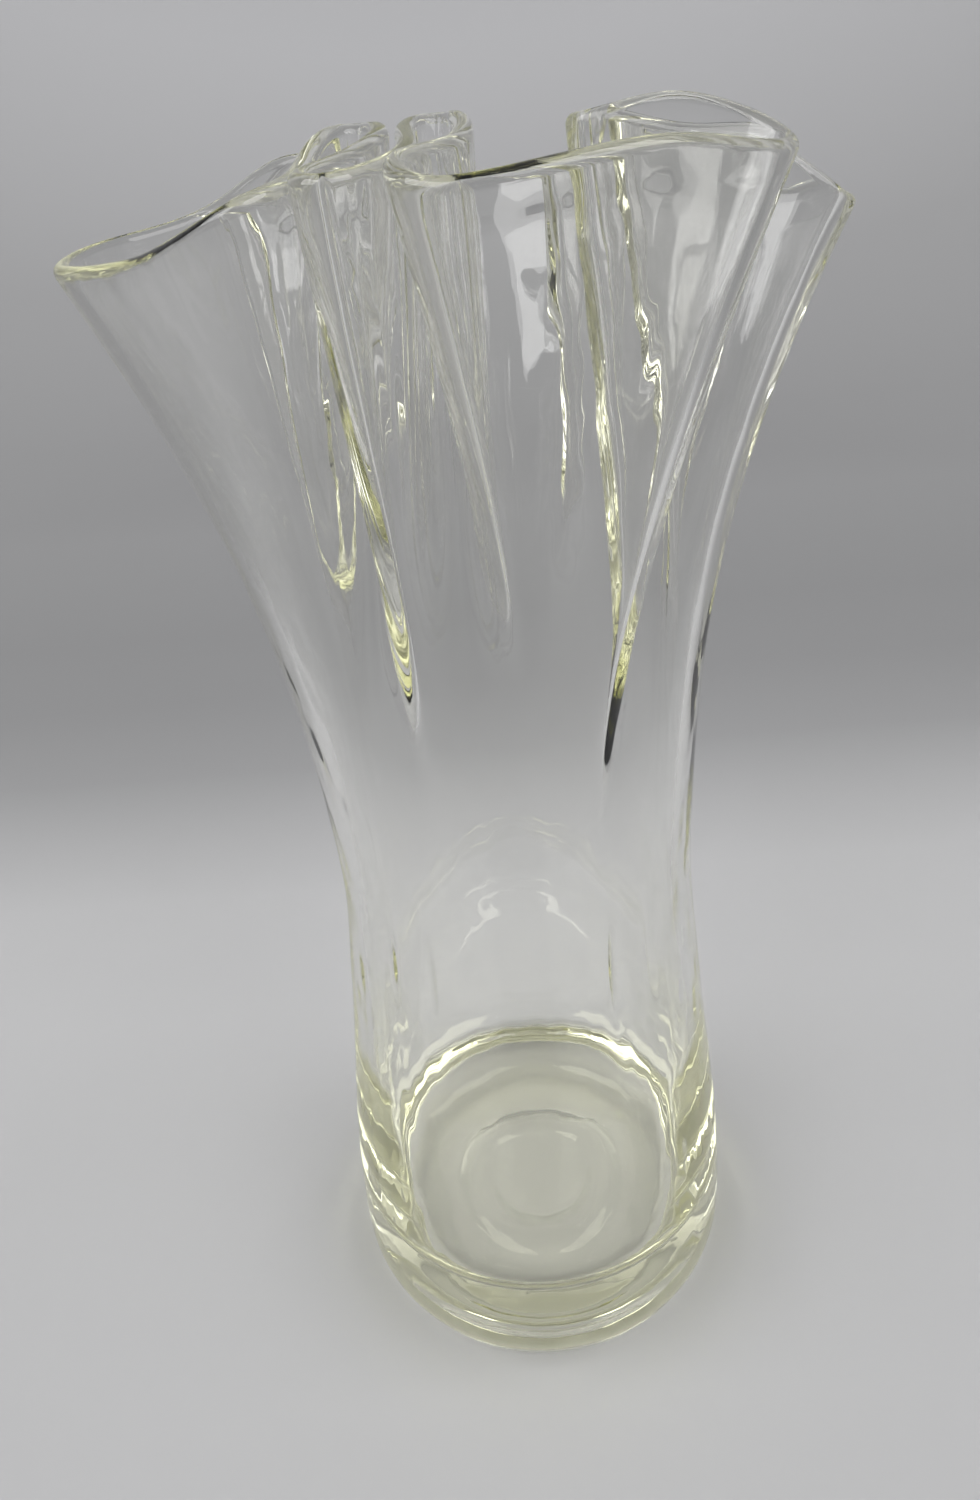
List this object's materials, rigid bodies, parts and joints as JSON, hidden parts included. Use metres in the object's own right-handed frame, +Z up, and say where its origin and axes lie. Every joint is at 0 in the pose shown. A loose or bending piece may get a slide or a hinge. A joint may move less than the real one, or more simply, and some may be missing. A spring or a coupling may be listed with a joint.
{
  "type": "handkerchief vase",
  "caption": "Clear blown-glass vase with a thick round base, a waisted body and a flared rim gathered into deep wavy folds.",
  "frame": {"origin": "centre of the flat underside the vase stands on", "axes": "+Z up along the body's axis to the rim, -Y the side seen in the picture, +X to its right"},
  "size_m": [0.1189, 0.1232, 0.256],
  "materials": {
    "glass": "gloss"
  },
  "bodies": {
    "root": {"vase": "glass"}
  },
  "joints": []
}
